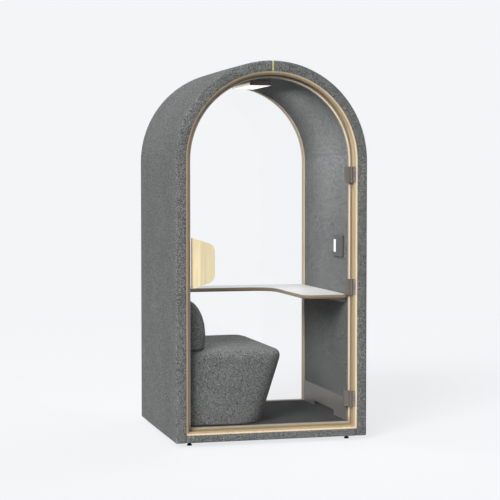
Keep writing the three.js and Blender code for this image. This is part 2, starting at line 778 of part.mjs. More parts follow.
// One hinge, drawn about the middle of its axis and set at each height
function makeHinges() {
  const half = hingeHeight / 2;
  const knuckle = hingeHeight / 3;
  const bore = cylinder('z', hingePinRadius + boreClearance, [-hingeHeight, hingeHeight]);
  const barrel = (from, to) => cylinder('z', hingeBarrelRadius, [from, to]);
  const leafInner = frameInnerHalf - fitGap - leafThickness - hingeAxisX;
  const leafOuter = frameInnerHalf - fitGap - hingeAxisX;
  const flangeEnd = leafInner + leafFlangeWidth;
  const flangeFront = fitGap + leafFlangeThickness;
  const bevelSlope = frontBevelDepth / (ringOuterHalf - frontBevelLip - frameInnerHalf);
  const bevelStretch = Math.hypot(1, bevelSlope);
  const beforeBevel = (x, distance) => {
    const bevel = frontBevelDepth - (x + hingeAxisX - frameInnerHalf) * bevelSlope;
    return bevel - distance * bevelStretch - hingeSetback;
  };
  const leafPlate = prism('z', polygon([
    [leafInner, beforeBevel(leafInner, flangeFront)],
    [flangeEnd, beforeBevel(flangeEnd, flangeFront)],
    [flangeEnd, beforeBevel(flangeEnd, fitGap)],
    [leafOuter, beforeBevel(leafOuter, fitGap)],
    [leafOuter, doorFront - leafGlassGap - hingeSetback],
    [leafInner, doorFront - leafGlassGap - hingeSetback],
  ]), [-half, half]);
  const leafKnuckle = (from, to) => {
    const web = box([0, leafInner + fitGap], [-webThickness / 2, webThickness / 2], [from, to]);
    return barrel(from, to).add(web);
  };
  const leaf = leafPlate
    .add(leafKnuckle(-half, -half + knuckle))
    .add(leafKnuckle(half - knuckle, half))
    .subtract(bore);

  const pinProfile = [
    [0, -half - hingePinHead - hingeKnuckleGap],
    [hingeBarrelRadius, -half - hingePinHead - hingeKnuckleGap],
    [hingeBarrelRadius, -half - hingeKnuckleGap],
    [hingePinRadius, -half - hingeKnuckleGap],
    [hingePinRadius, half + hingeKnuckleGap],
    [hingeBarrelRadius, half + hingeKnuckleGap],
    [hingeBarrelRadius, half + hingePinHead + hingeKnuckleGap],
    [0, half + hingePinHead + hingeKnuckleGap],
  ];

  const clampLeft = -clampReach;
  const glassFront = doorFront - fitGap - hingeSetback;
  const glassBack = doorBack + fitGap - hingeSetback;
  const middle = [-half + knuckle + hingeKnuckleGap, half - knuckle - hingeKnuckleGap];
  const studPlaces = [-1, 1].map((side) => [studX - hingeAxisX, side * clampStudSpacing / 2]);
  const clampBack = [glassBack, glassBack + clampBackThickness];
  const clampFront = glassFront - clampThickness;
  const clampArm = box([clampOverrun - clampArmWidth, clampOverrun], [0, clampFront + fitGap], middle);
  const studDepths = [glassFront - fitGap, clampBack[1] - fitGap];
  const clamp = studPlaces.reduce(
    (solid, place) => solid.add(cylinder('y', clampStudRadius, studDepths, place)),
    box([clampLeft, clampOverrun], [clampFront, glassFront], [-half, half])
      .add(clampArm)
      .add(barrel(...middle))
      .subtract(bore),
  );
  const backRight = stopInnerHalf - clampStopGap - hingeAxisX;
  const backing = studPlaces.reduce(
    (solid, place) => solid.subtract(
      cylinder('y', clampStudRadius + boreClearance, [glassBack - fitGap, clampBack[1] + fitGap], place),
    ),
    box([clampLeft, backRight], clampBack, [-half, half]),
  );

  ['lower', 'middle', 'upper'].forEach((level, i) => {
    const hinge = group(pod);
    hinge.position.set(hingeAxisX, hingeSetback, hingeHeights[i]);
    piece(hinge, `hinge_leaf_${level}`, leaf, taupeMetal);
    piece(hinge, `hinge_pin_${level}`, turned(pinProfile), steel);
    piece(hinge, `hinge_clamp_${level}`, clamp, taupeMetal);
    piece(hinge, `hinge_backing_${level}`, backing, taupeMetal);
  });
}

// Desk: plywood core with an undercut edge, laminate and wall rail
function makeDesk() {
  const desk = group(pod);
  const right = stopInnerHalf - deskSideGap;
  const left = right - deskWidth;
  const front = frontStopBack + deskFrontGap;
  const back = backStopBack - deskBackGap;
  const shelfFront = back - deskShelfDepth;
  const shelfEnd = seatWall + cushionBelly + deskCushionGap;
  const outline = (inset) => roundedOutline(
    [
      [right - inset, front + inset],
      [right - inset, back - inset],
      [shelfEnd + inset, back - inset],
      [shelfEnd + inset, shelfFront + inset],
      [left + inset, shelfFront + inset],
      [left + inset, front + inset],
    ],
    [deskWallCorner, deskWallCorner, deskEndRadius, deskEndRadius, deskSweepRadius, deskNoseRadius],
  );
  const coreTop = deskTopHeight - laminateThickness - fitGap;
  const coreBottom = coreTop - deskCoreThickness;
  const ringAt = (inset, height) => outline(inset).getPoints(wideCurveSteps).slice(0, -1)
    .map((point) => new THREE.Vector3(point.x, point.y, height));
  const upper = prism('z', outline(0), [coreBottom + deskChamfer, coreTop], wideCurveSteps);
  const undercut = slab(ringAt(deskChamfer, coreBottom), ringAt(0, coreBottom + deskChamfer));
  piece(desk, 'desk_core', upper.add(undercut), birch);
  const laminateHeights = [deskTopHeight - laminateThickness, deskTopHeight];
  piece(desk, 'desk_laminate', prism('z', outline(0), laminateHeights, wideCurveSteps), whiteLaminate);

  const railTop = coreBottom - fitGap;
  const railBack = liningFace;
  const section = polygon([
    [railBack - deskRailWidth, railTop - deskRailThickness],
    [railBack - deskRailThickness, railTop - deskRailThickness],
    [railBack - deskRailThickness, railTop - deskRailWidth],
    [railBack, railTop - deskRailWidth],
    [railBack, railTop],
    [railBack - deskRailWidth, railTop],
  ]);
  const rail = prism('y', section, [front + deskRailInset, cabinBack - deskRailInset]);
  piece(desk, 'desk_rail', rail, darkMetal);
}

// Two outlines of equal count joined by straight sides, closed flat at both ends
function slab(lower, upper) {
  const flat = lower.map((point) => new THREE.Vector2(point.x, point.y));
  const faces = THREE.ShapeUtils.triangulateShape(flat, []);
  const clockwise = THREE.ShapeUtils.isClockWise(flat);
  const count = lower.length;
  const triangles = [];
  const face = (a, b, c) => triangles.push(...(clockwise ? [a, c, b] : [a, b, c]));
  faces.forEach(([a, b, c]) => {
    triangles.push(c, b, a);
    triangles.push(a + count, b + count, c + count);
  });
  lower.forEach((_, i) => {
    const next = (i + 1) % count;
    face(i, next, next + count);
    face(i, next + count, i + count);
  });
  const geometry = new THREE.BufferGeometry().setFromPoints([...lower, ...upper]);
  geometry.setIndex(triangles);
  return toSolid(geometry);
}

// Seat: upholstered block on an inner frame, with a back cushion standing on it
function makeSeat() {
  const seat = group(pod);
  const bottom = carpetTop + seatHemGap;
  const outlineAt = (height) => {
    const share = (height - bottom) / (seatRimHeight - bottom);
    const mix = (from, to) => from + (to - from) * share;
    const reach = seatWall + mix(seatFootReach, seatTopReach);
    const shape = roundedOutline(
      [
        [seatWall, mix(seatFootFront.left, seatTopFront.left)],
        [reach, mix(seatFootFront.right, seatTopFront.right)],
        [reach, podDepth - mix(seatFootBack.right, seatTopBack.right)],
        [seatWall, podDepth - mix(seatFootBack.left, seatTopBack.left)],
      ],
      [
        seatWallCorner.front,
        mix(seatFootCorner.front, seatTopCorner.front),
        mix(seatFootCorner.back, seatTopCorner.back),
        seatWallCorner.back,
      ],
    );
    return shape.getPoints(wideCurveSteps).slice(0, -1);
  };
  const pole = new THREE.Vector3(seatWall + seatPoleReach, podMiddle, bottom);
  const crownPole = pole.clone().setZ(seatRimHeight + seatCrown);
  const ring = (height, inset) => outlineAt(height).map((point) => {
    const spot = new THREE.Vector2(pole.x, pole.y).sub(point).setLength(inset).add(point);
    return new THREE.Vector3(spot.x, spot.y, height);
  });
  const rim = Array.from({ length: wideCurveSteps + 1 }, (_, i) => {
    const angle = (i / wideCurveSteps) * Math.PI / 2;
    const height = seatRimHeight - seatRimRadius * (1 - Math.sin(angle));
    return ring(height, seatRimRadius * (1 - Math.cos(angle)));
  });
  const top = seatTopShares.map((share) => rim.at(-1).map((point) => {
    const rise = seatCrown * (1 - share * share);
    return crownPole.clone().lerp(point, share).setZ(seatRimHeight + rise);
  }));
  const hem = [ring(bottom, seatHemRadius), ring(bottom + seatHemRadius, 0)];
  const block = loft(pole, [...hem, ...rim, ...top], crownPole);
  const frameTop = carpetTop + seatFrameHeight;
  const frameBox = (gap) => box(
    [seatWall + seatFrameInset - gap, seatWall + seatFrameReach + gap],
    [seatFrameFront - gap, podDepth - seatFrameFront + gap],
    [carpetTop + fitGap - gap, frameTop + gap],
  );
  piece(seat, 'seat_body', block.subtract(frameBox(fitGap)), seatFabric);
  const frameHollow = box(
    [seatWall + seatFrameInset + seatFramePanel, seatWall + seatFrameReach - seatFramePanel],
    [seatFrameFront + seatFramePanel, podDepth - seatFrameFront - seatFramePanel],
    [carpetTop, frameTop - seatFramePanel],
  );
  piece(seat, 'seat_frame', frameBox(0).subtract(frameHollow), boardCore);

  const foot = crownPole.z + cushionSeatGap;
  const belly = foot + cushionBellyRise;
  const thicknessAt = (height) => {
    if (height < belly) {
      const down = (belly - height) / cushionBellyRise;
      return cushionBelly - (cushionBelly - cushionFoot) * down * down;
    }
    const up = (height - belly) / (cushionHeight - cushionBellyRise);
    return cushionBelly * (1 - up ** cushionRoundness) ** (1 / cushionRoundness);
  };
  const cushionRing = (height) => {
    const thickness = thicknessAt(height);
    const roomRound = thickness * cushionEndRound;
    const wallRound = thickness * cushionWallRound;
    const face = seatWall + thickness;
    const end = cabinFront + cushionEndGap + (cushionBelly - thickness) * cushionEndDraw;
    const shape = roundedOutline(
      [[seatWall, end], [face, end], [face, podDepth - end], [seatWall, podDepth - end]],
      [wallRound, roomRound, roomRound, wallRound],
    );
    return shape.getPoints(wideCurveSteps).slice(0, -1)
      .map((point) => new THREE.Vector3(point.x, point.y, height));
  };
  const cushionRings = cushionLevels.map((share) => cushionRing(foot + share * cushionHeight));
  const cushionPole = new THREE.Vector3(seatWall + cushionBelly * cushionWallRound, podMiddle, foot);
  const cushion = loft(cushionPole, cushionRings, cushionPole.clone().setZ(foot + cushionHeight));
  piece(seat, 'back_cushion', cushion, seatFabric);
}

// Kick plate along the right wall and the power supply behind it
function makeKickPlate() {
  const kick = group(pod);
  const proud = liningFace - kickProud;
  const depths = [cabinFront + kickEndGap, cabinBack - kickBackGap];
  const bottom = carpetTop + fitGap;
  const top = carpetTop + kickHeight;
  const hollow = box(
    [proud + kickSheet, liningFace + fitGap],
    [depths[0] + kickSheet, depths[1] - kickSheet],
    [bottom - fitGap, top - kickSheet],
  );
  const slot = box(
    [proud - fitGap, liningFace],
    [kickSlotMiddle - kickSlotLength / 2, kickSlotMiddle + kickSlotLength / 2],
    [0, carpetTop + kickSlotHeight],
  );
  const plate = box([proud, liningFace], depths, [bottom, top]).subtract(hollow).subtract(slot);
  piece(kick, 'kick_plate', plate, taupeMetal);

  const supplyBack = openingHalf - fitGap;
  const supply = box(
    [supplyBack - supplyDepth, supplyBack],
    [kickSlotMiddle - supplyLength / 2, kickSlotMiddle + supplyLength / 2],
    [supplyBottom, supplyBottom + supplyHeight],
  );
  piece(kick, 'power_supply', supply, blackPlastic);
}

// Wall plate with a light rocker and a socket insert
function makeControls() {
  const controls = group(pod);
  const front = liningFace - plateThickness;
  const [rockerMiddle, socketMiddle] = insertMiddles;
  const pivotX = (front + liningFace) / 2;
  const pivotHole = cylinder(
    'y',
    rockerPivotRadius + boreClearance,
    [
      rockerMiddle - rockerWidth / 2 - rockerPivotLength - fitGap,
      rockerMiddle + rockerWidth / 2 + rockerPivotLength + fitGap,
    ],
    [pivotX, plateMiddleHeight],
  );
  const hole = (middle, width, height) => box(
    [front - fitGap, liningFace + fitGap],
    [middle - width / 2, middle + width / 2],
    [plateMiddleHeight - height / 2, plateMiddleHeight + height / 2],
  );
  const rockerHole = hole(rockerMiddle, rockerWidth + 2 * rockerSideGap, rockerHeight + 2 * rockerEndGap);
  const socketHole = hole(socketMiddle, plateInsert.width + 2 * fitGap, plateInsert.height + 2 * fitGap);
  const outline = roundedRect(
    [plateMiddleDepth - plateWidth / 2, plateMiddleDepth + plateWidth / 2],
    [plateMiddleHeight - plateHeight / 2, plateMiddleHeight + plateHeight / 2],
    plateCorner,
  );
  const plate = prism('x', outline, [front, liningFace])
    .subtract(rockerHole)
    .subtract(socketHole)
    .subtract(pivotHole);
  piece(controls, 'wall_plate', plate, greyPlastic);

  const stubReach = rockerWidth / 2 + rockerPivotLength;
  const stub = cylinder('y', rockerPivotRadius, [-stubReach, stubReach]);
  const key = box(
    [front - rockerProud - pivotX, front - rockerProud + rockerThickness - pivotX],
    [-rockerWidth / 2, rockerWidth / 2],
    [-rockerHeight / 2, rockerHeight / 2],
  );
  piece(controls, 'light_rocker', key.add(stub), whitePlastic)
    .position.set(pivotX, rockerMiddle, plateMiddleHeight);

  const switchFront = liningFace + switchGap;
  const body = box(
    [switchFront, switchFront + switchDepth],
    [rockerMiddle - plateInsert.width / 2, rockerMiddle + plateInsert.width / 2],
    [plateMiddleHeight - plateInsert.height / 2, plateMiddleHeight + plateInsert.height / 2],
  );
  piece(controls, 'switch_body', body, blackPlastic);

  const insert = box(
    [front, front + socketDepth],
    [socketMiddle - plateInsert.width / 2, socketMiddle + plateInsert.width / 2],
    [plateMiddleHeight - plateInsert.height / 2, plateMiddleHeight + plateInsert.height / 2],
  );
  const pairs = [-1, 1].flatMap((row) => [-1, 1].map((side) => [
    socketMiddle + side * socketHoleSpacing / 2,
    plateMiddleHeight + row * socketRowSpacing / 2,
  ]));
  const socket = pairs.reduce(
    (solid, place) => solid.subtract(
      cylinder('x', socketHoleRadius, [front - fitGap, front + socketHoleDepth], place),
    ),
    insert,
  );
  piece(controls, 'socket_insert', socket, greyPlastic);
}

// Ceiling unit: housing, light board and diffuser, with the fan and its outlet above
function makeCeiling() {
  const ceiling = group(pod);
  const halfWidth = ceilingWidth / 2;
  const depths = [ceilingMiddle - ceilingLength / 2, ceilingMiddle + ceilingLength / 2];
  const layer = (inset, heights) => prism(
    'z',
    roundedRect(
      [-halfWidth + inset, halfWidth - inset],
      [depths[0] + inset, depths[1] - inset],
      ceilingCorner - inset / 2,
    ),
    heights,
  );
  const trayTop = ceilingUnderside + lampTrayHeight;
  const neckTop = trayTop + lampNeckHeight;
  const unitTop = neckTop + lampTopHeight;
  const padHalf = lampPadWidth / 2;
  const liningOverPad = archCentreHeight + Math.sqrt(liningInnerHalf ** 2 - padHalf ** 2);
  const pad = (middle) => box(
    [-padHalf, padHalf],
    [middle - lampPadLength / 2, middle + lampPadLength / 2],
    [unitTop - fitGap, liningOverPad - 2 * fitGap],
  );
  const lit = [depths[0] + lampCapLength, depths[1] - lampCapLength];
  const between = box([-ceilingWidth, ceilingWidth], lit, [ceilingUnderside - fitGap, trayTop + fitGap]);
  const housing = layer(0, [ceilingUnderside, trayTop])
    .subtract(between)
    .add(layer(lampNeckInset, [trayTop - fitGap, neckTop + fitGap]))
    .add(layer(0, [neckTop, unitTop]))
    .add(pad(depths[0] + lampPadInset))
    .add(pad(depths[1] - lampPadInset));
  piece(ceiling, 'ceiling_housing', housing, taupeMetal);
  const boardTop = trayTop - 2 * fitGap;
  const diffuserSpan = [lit[0] + fitGap, lit[1] - fitGap];
  const hollowHalf = halfWidth - diffuserThickness;
  const hollowHeights = [ceilingUnderside + diffuserThickness, trayTop];
  const diffuser = box([-halfWidth, halfWidth], diffuserSpan, [ceilingUnderside, boardTop])
    .subtract(box([-hollowHalf, hollowHalf], lit, hollowHeights));
  piece(ceiling, 'lamp_diffuser', diffuser, opalAcrylic);
  const board = box(
    [-ledBoardWidth / 2, ledBoardWidth / 2],
    [depths[0] + lampPadInset, depths[1] - lampPadInset],
    [boardTop - ledBoardThickness, boardTop],
  );
  piece(ceiling, 'lamp_board', board, circuitBoard);

  const fan = group(ceiling);
  fan.position.set(0, ceilingMiddle, crown(liningInnerHalf) + fanRise);
  const fanHalf = fanSize / 2;
  const shaftBore = cylinder('z', fanShaftRadius + boreClearance, [-fitGap, fanHubFloor + fitGap]);
  const strutHeights = [0, fanHubFloor];
  const strutReach = fanBoreRadius + fitGap;
  const fanFrame = box([-fanHalf, fanHalf], [-fanHalf, fanHalf], [0, fanHeight])
    .subtract(cylinder('z', fanBoreRadius, [-fitGap, fanHeight + fitGap]))
    .add(box([-strutReach, strutReach], [-fanStrutWidth / 2, fanStrutWidth / 2], strutHeights))
    .add(box([-fanStrutWidth / 2, fanStrutWidth / 2], [-strutReach, strutReach], strutHeights))
    .add(cylinder('z', fanHubRadius, strutHeights))
    .subtract(shaftBore);
  piece(fan, 'fan_frame', fanFrame, blackPlastic);

  const hubBottom = fanHubFloor + fanRotorGap;
  const hubTop = hubBottom + fanRotorHeight;
  const hub = turned([
    [0, fanHubFloor - fanShaftLength],
    [fanShaftRadius, fanHubFloor - fanShaftLength],
    [fanShaftRadius, hubBottom],
    [fanHubRadius, hubBottom],
    [fanHubRadius, hubTop],
    [0, hubTop],
  ]);
  const bladeTip = fanBoreRadius - fanTipGap;
  const blade = (i) => {
    const bladeLength = bladeTip - fanHubRadius + fanBladeRoot;
    const geometry = new THREE.BoxGeometry(bladeLength, fanBladeChord, fanBladeThickness);
    geometry.rotateX(fanBladePitch);
    geometry.translate(bladeTip - bladeLength / 2, 0, (hubBottom + hubTop) / 2);
    geometry.rotateZ((i / fanBladeCount) * 2 * Math.PI);
    return toSolid(geometry);
  };
  const rotor = Array.from({ length: fanBladeCount }, (_, i) => blade(i))
    .reduce((solid, one) => solid.add(one), hub);
  piece(fan, 'fan_rotor', rotor, blackPlastic);

  const grilleBottom = crown(coreOuterHalf) + fitGap;
  const grilleHeights = [grilleBottom, grilleBottom + grilleThickness];
  const grilleHalf = grilleSize / 2;
  const clear = grilleHalf - grilleBorder;
  const pitch = (2 * clear + grilleBarWidth) / (grilleBars + 1);
  const slots = Array.from({ length: grilleBars + 1 }, (_, i) => {
    const start = -clear + i * pitch;
    return box(
      [start, start + pitch - grilleBarWidth],
      [-clear, clear],
      [grilleHeights[0] - fitGap, grilleHeights[1] + fitGap],
    );
  });
  const grille = slots.reduce(
    (solid, slot) => solid.subtract(slot),
    box([-grilleHalf, grilleHalf], [-grilleHalf, grilleHalf], grilleHeights),
  );
  piece(ceiling, 'roof_grille', grille, darkMetal).position.set(0, ceilingMiddle, 0);
}

makeShell();
makeFrames();
makeBase();
makeDoor();
makeHinges();
makeDesk();
makeSeat();
makeKickPlate();
makeControls();
makeCeiling();

pod.position.y = -podMiddle;

export default pod;
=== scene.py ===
import json
import math

import bmesh
import bpy
import numpy as np
from mathutils import Matrix, Vector, noise


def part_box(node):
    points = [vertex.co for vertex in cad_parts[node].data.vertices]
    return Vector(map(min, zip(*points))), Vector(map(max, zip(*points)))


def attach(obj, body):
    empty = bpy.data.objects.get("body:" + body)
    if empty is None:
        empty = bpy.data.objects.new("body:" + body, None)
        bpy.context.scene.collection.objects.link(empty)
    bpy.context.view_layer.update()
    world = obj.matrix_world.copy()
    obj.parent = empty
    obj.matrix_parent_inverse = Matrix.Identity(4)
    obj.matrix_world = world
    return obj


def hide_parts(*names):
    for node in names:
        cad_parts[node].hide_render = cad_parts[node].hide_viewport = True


# Acoustic office pod: fabric, plywood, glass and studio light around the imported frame, in metres.

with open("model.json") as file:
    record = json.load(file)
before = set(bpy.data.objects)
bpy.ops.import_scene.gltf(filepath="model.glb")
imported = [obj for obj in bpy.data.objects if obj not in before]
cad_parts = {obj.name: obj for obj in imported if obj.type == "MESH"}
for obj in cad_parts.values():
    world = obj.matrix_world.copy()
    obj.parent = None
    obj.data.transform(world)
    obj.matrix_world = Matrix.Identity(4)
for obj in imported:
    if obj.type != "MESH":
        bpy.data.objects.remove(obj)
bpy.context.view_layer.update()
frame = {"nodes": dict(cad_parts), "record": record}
nodes = frame["nodes"]

# The arch that every shell piece follows
ARCH_CENTRE = 1.647
OUTER_HALF = 0.5755
OPENING_HALF = 0.514
SHELL_FRONT = -0.5275
SHELL_BACK = 0.5275
SHELL_BOTTOM = 0.027
FRAME_BOTTOM = 0.0706
SILL_TOP = 0.115
COVER_THICKNESS = 0.015
EDGE_RADIUS = 0.013
HEM_RADIUS = 0.004
SEAM_HALF = 0.0043


# Materials

def rgb(red, green, blue):
    """Linear colour of an sRGB value that runs from 0 to 255."""
    def linear(value):
        share = value / 255
        return share / 12.92 if share <= 0.04045 else ((share + 0.055) / 1.055) ** 2.4
    return (linear(red), linear(green), linear(blue), 1.0)


class Look:
    """A material grown node by node around one Principled shader, in the piece's own coordinates."""

    def __init__(self, name, **sockets):
        self.material = bpy.data.materials.new(name)
        self.material.use_nodes = True
        self.tree = self.material.node_tree
        self.shader = self.tree.nodes["Principled BSDF"]
        coordinates = self.tree.nodes.new("ShaderNodeTexCoord")
        self.place = coordinates.outputs["Object"]
        self.facing = coordinates.outputs["Normal"]
        for socket, value in sockets.items():
            self.shader.inputs[socket.replace("_", " ")].default_value = value

    def feed(self, socket, value):
        """Links an output to a socket, or sets a constant on it."""
        if isinstance(value, bpy.types.NodeSocket):
            self.tree.links.new(value, socket)
        else:
            socket.default_value = value

    def add(self, kind, inputs, output=0, **settings):
        """A new node with its inputs fed; returns one of its outputs."""
        node = self.tree.nodes.new(kind)
        for setting, value in settings.items():
            setattr(node, setting, value)
        for socket, value in inputs.items():
            self.feed(node.inputs[socket], value)
        return node.outputs[output]

    def stretched(self, x, y, z):
        return self.add("ShaderNodeVectorMath", {0: self.place, 1: (x, y, z)}, operation="MULTIPLY")

    def noise(self, scale, detail=2.0, roughness=0.5, place=None):
        inputs = {"Vector": place or self.place, "Scale": scale, "Detail": detail, "Roughness": roughness}
        return self.add("ShaderNodeTexNoise", inputs, "Fac")

    def cells(self, scale):
        return self.add("ShaderNodeTexVoronoi", {"Vector": self.place, "Scale": scale}, "Distance")

    def sum(self, operation, first, second=0.0):
        return self.add("ShaderNodeMath", {0: first, 1: second}, operation=operation)

    def axis(self, vector, letter):
        return self.add("ShaderNodeSeparateXYZ", {0: vector}, letter)

    def ramp(self, value, *stops):
        """Colours or levels along a value; each stop is a position and a colour."""
        node = self.tree.nodes.new("ShaderNodeValToRGB")
        self.feed(node.inputs["Fac"], value)
        elements = node.color_ramp.elements
        while len(elements) < len(stops):
            elements.new(1.0)
        for element, (position, colour) in zip(elements, stops):
            element.position = position
            element.color = colour
        return node.outputs["Color"]

    def level(self, value, low, high, start=0.0, end=1.0):
        """A value's stretch from low to high, mapped to start and end."""
        inputs = {"Value": value, "From Min": low, "From Max": high, "To Min": start, "To Max": end}
        return self.add("ShaderNodeMapRange", inputs)

    def mix(self, share, first, second, blend="MIX"):
        return self.add(
            "ShaderNodeMix", {0: share, 6: first, 7: second}, 2, data_type="RGBA", blend_type=blend,
        )

    def colour(self, value):
        self.feed(self.shader.inputs["Base Color"], value)

    def roughness(self, value):
        self.feed(self.shader.inputs["Roughness"], value)

    def bump(self, height, strength, distance):
        inputs = {"Height": height, "Strength": strength, "Distance": distance}
        self.feed(self.shader.inputs["Normal"], self.add("ShaderNodeBump", inputs))


def boucle(name, dark, middle, light, loops, depth, shade_below=None):
    """Looped wool cloth: three yarn tones in small curls, over a slow unevenness.

    Below a given height the cloth is painted darker, painted shade of the cavity behind the kick plate and its air
    slot.
    """
    look = Look(name, Sheen_Weight=0.06, Sheen_Roughness=0.5, Specular_IOR_Level=0.15)
    curls = look.noise(loops, 1.0, 0.5)
    knots = look.add("ShaderNodeTexVoronoi", {"Vector": look.place, "Scale": loops}, "Color")
    flecks = look.axis(knots, "X")
    yarn = look.sum("ADD", look.sum("MULTIPLY", curls, 0.5), look.sum("MULTIPLY", flecks, 0.5))
    tone = look.ramp(yarn, (0.26, dark), (0.50, middle), (0.74, light))
    if shade_below:
        # Painted shade: below the given height the cloth is darkened to three tenths.
        unshaded = look.level(look.axis(look.place, "Z"), shade_below, shade_below + 0.006)
        tone = look.mix(unshaded, look.mix(1.0, tone, (0.3, 0.3, 0.3, 1), "MULTIPLY"), tone)
    drift = look.ramp(look.noise(5.0, 2.0), (0.35, (0.94, 0.94, 0.94, 1)), (0.65, (1.04, 1.04, 1.04, 1)))
    look.colour(look.mix(1.0, tone, drift, "MULTIPLY"))
    look.roughness(look.level(yarn, 0.3, 0.7, 0.9, 1.0))
    loop_height = look.sum("SUBTRACT", curls, look.sum("MULTIPLY", look.cells(loops * 1.7), 0.6))
    look.bump(loop_height, 0.8, depth)
    return look.material


def ring_depth(look):
    """Distance in from the outer edge of the plywood rings, round the arch and along the sill."""
    x = look.axis(look.place, "X")
    z = look.axis(look.place, "Z")
    rise = look.sum("MAXIMUM", look.sum("SUBTRACT", z, ARCH_CENTRE), 0.0)
    squares = look.sum("ADD", look.sum("MULTIPLY", x, x), look.sum("MULTIPLY", rise, rise))
    from_arch = look.sum("SUBTRACT", OPENING_HALF, look.sum("SQRT", squares))
    from_sill = look.sum("SUBTRACT", z, FRAME_BOTTOM)
    return look.sum("MINIMUM", from_arch, from_sill)


def plywood(name, letter, board, face=(235, 209, 171), edge=(216, 184, 144), lip=None, sill=None):
    """Birch boards glued up along one axis: veneer grain on the faces, ply lines on the cut edges.

    A ring with a lip keeps its face tone for that width in from its outer edge and is darker inward of it; one with
    a sill share has its face painted that much darker near the sill, painted shade.
    """
    def tone(colour, share):
        return rgb(*(min(255, value * share) for value in colour))
    look = Look(name, Specular_IOR_Level=0.35, Coat_Weight=0.08, Coat_Roughness=0.35)
    along = look.axis(look.place, letter)
    plies = look.sum("FRACT", look.sum("MULTIPLY", along, 9 / board))
    edge_tone = look.ramp(
        plies,
        (0.00, tone(edge, 1.0)), (0.42, tone(edge, 0.97)),
        (0.52, tone(edge, 0.82)), (0.92, tone(edge, 0.85)), (1.00, tone(edge, 0.98)),
    )
    joints = look.sum("FRACT", look.sum("MULTIPLY", along, 1 / board))
    edge_tone = look.mix(
        look.ramp(joints, (0.0, (1, 1, 1, 1)), (0.04, (0, 0, 0, 1)), (0.96, (0, 0, 0, 1)), (1.0, (1, 1, 1, 1))),
        edge_tone, tone(edge, 0.62),
    )
    grain_place = look.stretched(60, 60, 3.5) if letter == "Y" else look.stretched(60, 3.5, 60)
    grain = look.noise(1.4, 4.0, 0.6, grain_place)
    flame = look.noise(0.35, 2.0, 0.5, grain_place)
    face_tone = look.ramp(
        look.sum("ADD", look.sum("MULTIPLY", grain, 0.6), look.sum("MULTIPLY", flame, 0.4)),
        (0.36, tone(face, 0.94)), (0.50, tone(face, 1.0)), (0.62, tone(face, 1.03)),
    )
    across = look.sum("ABSOLUTE", look.axis(look.facing, letter))
    face_share = look.level(across, 0.45, 0.70)
    # Inward of the lip the face tone is darkened to about six tenths.
    if lip:
        darker_inner_band = look.mix(1.0, face_tone, (0.58, 0.55, 0.50, 1.0), "MULTIPLY")
        face_tone = look.mix(look.level(ring_depth(look), lip, lip + 0.0015), face_tone, darker_inner_band)
    # Painted shade along the sill: the face is darkened by the sill share up to 3 cm above the sill top.
    if sill:
        painted_sill_shade = look.mix(1.0, face_tone, (sill, sill, sill, 1.0), "MULTIPLY")
        face_tone = look.mix(look.level(look.axis(look.place, "Z"), SILL_TOP, SILL_TOP + 0.03), painted_sill_shade, face_tone)
    look.colour(look.mix(face_share, edge_tone, face_tone))
    look.roughness(look.level(grain, 0.3, 0.7, 0.38, 0.56))
    look.bump(grain, 0.12, 0.0004)
    return look.material


def raw_board(name):
    """Pressed wood board, with chips of a few tones."""
    look = Look(name, Specular_IOR_Level=0.25)
    chips = look.noise(240, 3.0, 0.6, look.stretched(1, 1, 2.5))
    look.colour(look.ramp(chips, (0.36, rgb(150, 120, 84)), (0.52, rgb(190, 158, 116)), (0.66, rgb(214, 186, 146))))
    look.roughness(look.level(chips, 0.3, 0.7, 0.75, 0.9))
    look.bump(chips, 0.4, 0.0008)
    return look.material


def coated(name, colour, worn, metallic, gloss):
    """Powder-coated metal: fine orange peel, faint rubbed patches."""
    look = Look(name, Metallic=metallic, Specular_IOR_Level=0.4)
    peel = look.noise(900, 2.0)
    patches = look.noise(14, 3.0, 0.6)
    look.colour(look.mix(look.level(patches, 0.5, 0.75, 0.0, 0.5), colour, worn))
    look.roughness(look.level(peel, 0.3, 0.7, gloss - 0.06, gloss + 0.08))
    look.bump(peel, 0.25, 0.0003)
    return look.material


def brushed(name, colour, bright):
    """Turned or brushed steel with fine lines."""
    look = Look(name, Metallic=1.0)
    lines = look.noise(1.0, 3.0, 0.6, look.stretched(300, 300, 2600))
    look.colour(look.ramp(lines, (0.3, colour), (0.7, bright)))
    look.roughness(look.level(lines, 0.3, 0.7, 0.26, 0.42))
    look.bump(lines, 0.1, 0.0002)
    return look.material


def moulded(name, colour, scuffed, gloss, grain_scale=1100):
    """Moulded plastic or rubber with a spark-eroded grain and a few scuffs."""
    look = Look(name, Specular_IOR_Level=0.45)
    grain = look.noise(grain_scale, 2.0, 0.6)
    scuffs = look.noise(22, 4.0, 0.65)
    look.colour(look.mix(look.level(scuffs, 0.52, 0.78, 0.0, 0.6), colour, scuffed))
    look.roughness(look.level(grain, 0.3, 0.7, gloss - 0.08, gloss + 0.08))
    look.bump(grain, 0.3, 0.0002)
    return look.material


def clear_glass(name):
    """Clear sheet glass: faces all but unseen, cut edges green, faint smears in the gloss."""
    look = Look(name)
    across = look.sum("ABSOLUTE", look.axis(look.facing, "Y"))
    tint = look.ramp(across, (0.30, rgb(206, 226, 219)), (0.95, (1, 1, 1, 1)))
    through = look.add("ShaderNodeBsdfTransparent", {"Color": tint})
    smears = look.level(look.noise(9, 4.0, 0.6), 0.4, 0.8, 0.0, 0.08)
    gloss = look.add("ShaderNodeBsdfGlossy", {"Color": (1, 1, 1, 1), "Roughness": smears})
    slant = look.add("ShaderNodeLayerWeight", {"Blend": 0.5}, "Facing")
    share = look.sum("ADD", look.sum("MULTIPLY", look.sum("POWER", slant, 5.0), 0.9), 0.01)
    sheet = look.add("ShaderNodeMixShader", {0: share, 1: through, 2: gloss})
    output = look.tree.nodes["Material Output"]
    look.feed(output.inputs["Surface"], sheet)
    look.tree.nodes.remove(look.shader)
    return look.material


